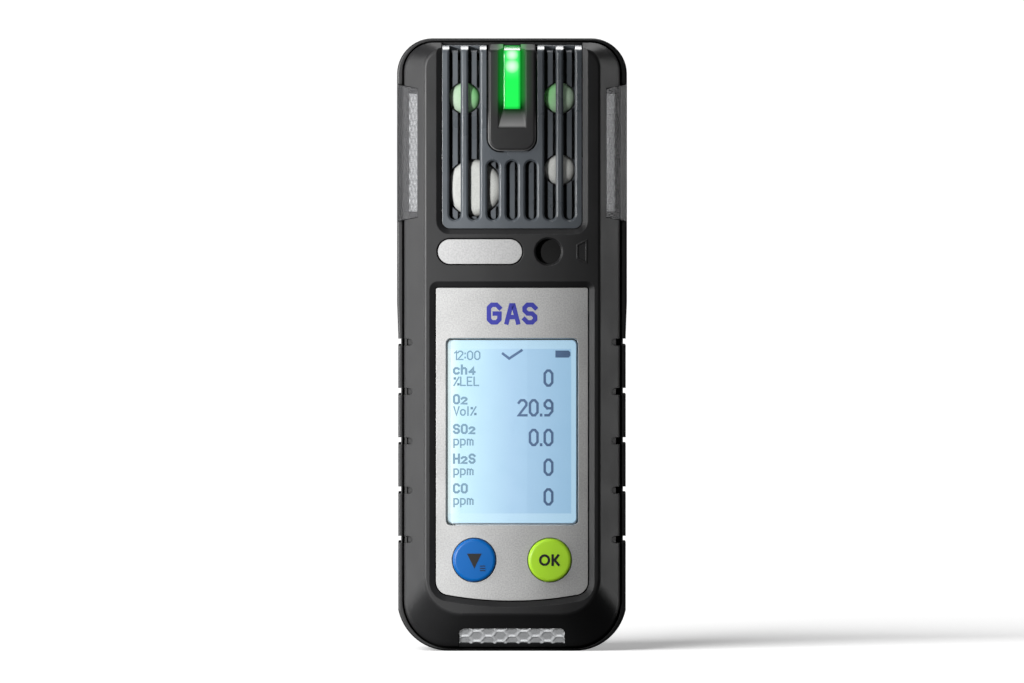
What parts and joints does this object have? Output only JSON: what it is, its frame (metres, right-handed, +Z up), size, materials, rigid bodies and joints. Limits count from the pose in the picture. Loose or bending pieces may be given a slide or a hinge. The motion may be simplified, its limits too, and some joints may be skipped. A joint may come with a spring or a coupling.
{
  "type": "portable gas detector",
  "caption": "Hand-held multi-gas detector with a slotted gas inlet, lit display, two push buttons, alarm light windows and a sprung clothing clip on its back.",
  "frame": {"origin": "centre of the flat foot, halfway through the depth of the body without its clip", "axes": "+Z up along the length, -Y the way the display faces, +X to the right as seen from the front"},
  "size_m": [0.0488, 0.0443, 0.13],
  "materials": {
    "casing_black": "fine moulded texture",
    "inlet_anthracite": "satin",
    "gloss_black": "polished",
    "clear_lens": "clear",
    "reflector_silver": "honeycomb relief",
    "plate_silver": "fine sparkle lacquer",
    "display_clear": "clear, polished",
    "lcd": "satin film",
    "backlight": "diffusing",
    "button_blue": "satin",
    "button_green": "satin",
    "light_green": "lit light guide",
    "filter_white": "porous membrane",
    "label_silver": "matte film",
    "seal_rubber": "matte",
    "sensor_can": "satin",
    "inner_black": "matte",
    "inner_white": "matte",
    "circuit_green": "solder resist",
    "steel": "plated",
    "contact_gold": "plated",
    "cell_wrap": "heat-shrink film over a metal can",
    "label_white": "blank film"
  },
  "bodies": {
    "casing": {"front_shell": "casing_black", "rear_shell": "casing_black", "casing_seal": "seal_rubber", "casing_screws": "steel", "front_plate": "plate_silver", "display_window": "display_clear", "lcd_panel": "lcd", "lcd_backlight": "backlight", "display_frame": "inner_white", "dome_switches": "steel", "name_label": "label_silver", "horn_membrane": "inner_black", "buzzer": "inner_black", "sensor_cover": "inlet_anthracite", "status_light_bezel": "gloss_black", "status_light_guide": "light_green", "status_led": "inner_white", "filter_frame": "inlet_anthracite", "small_dust_filters": "filter_white", "large_dust_filter": "filter_white", "sensor_carrier": "inner_black", "sensor_gasket": "seal_rubber", "sensor_board": "circuit_green", "right_alarm_lens": "clear_lens", "left_alarm_lens": "clear_lens", "bottom_alarm_lens": "clear_lens", "right_alarm_reflector": "reflector_silver", "left_alarm_reflector": "reflector_silver", "bottom_alarm_reflector": "reflector_silver", "right_led_board": "circuit_green", "left_led_board": "circuit_green", "bottom_led_board": "circuit_green", "alarm_leds": "inner_white", "main_board": "circuit_green", "board_components": "inner_black", "vibration_motor": "steel", "motor_cradle": "seal_rubber", "battery_housing": "casing_black", "battery_lid": "inner_black", "battery_cells": "cell_wrap", "battery_screws": "steel", "battery_contact_pads": "contact_gold", "battery_contact_pins": "contact_gold", "charging_contacts": "contact_gold", "infrared_window": "gloss_black", "rating_label": "label_white", "clip_base": "gloss_black", "clip_pin": "steel", "clip_spring": "steel", "clip_screws": "steel", "combustible_sensor": "sensor_can", "oxygen_sensor": "sensor_can", "sulfur_dioxide_sensor": "sensor_can", "dual_toxic_sensor": "sensor_can"},
    "menu_button": {"menu_button": "button_blue"},
    "ok_button": {"ok_button": "button_green"},
    "clip_arm": {"clip_arm": "casing_black"},
    "vibration_weight": {"vibration_weight": "steel"}
  },
  "joints": [
    {"name": "menu_press", "type": "slide", "parent": "casing", "child": "menu_button", "axis": [0, 1, 0], "range_m": [0, 0.0008], "stiffness_N_per_m": 2500},
    {"name": "ok_press", "type": "slide", "parent": "casing", "child": "ok_button", "axis": [0, 1, 0], "range_m": [0, 0.0008], "stiffness_N_per_m": 2500},
    {"name": "clip_swing", "type": "hinge", "parent": "casing", "child": "clip_arm", "pos_m": [0, 0.021, 0.103], "axis": [1, 0, 0], "range_deg": [0, 20], "stiffness_Nm_per_rad": 0.6, "springref_deg": -17.19, "deforming": ["clip_spring"]},
    {"name": "weight_spin", "type": "hinge", "parent": "casing", "child": "vibration_weight", "pos_m": [0, 0, 0.0762], "axis": [1, 0, 0], "continuous": true}
  ]
}
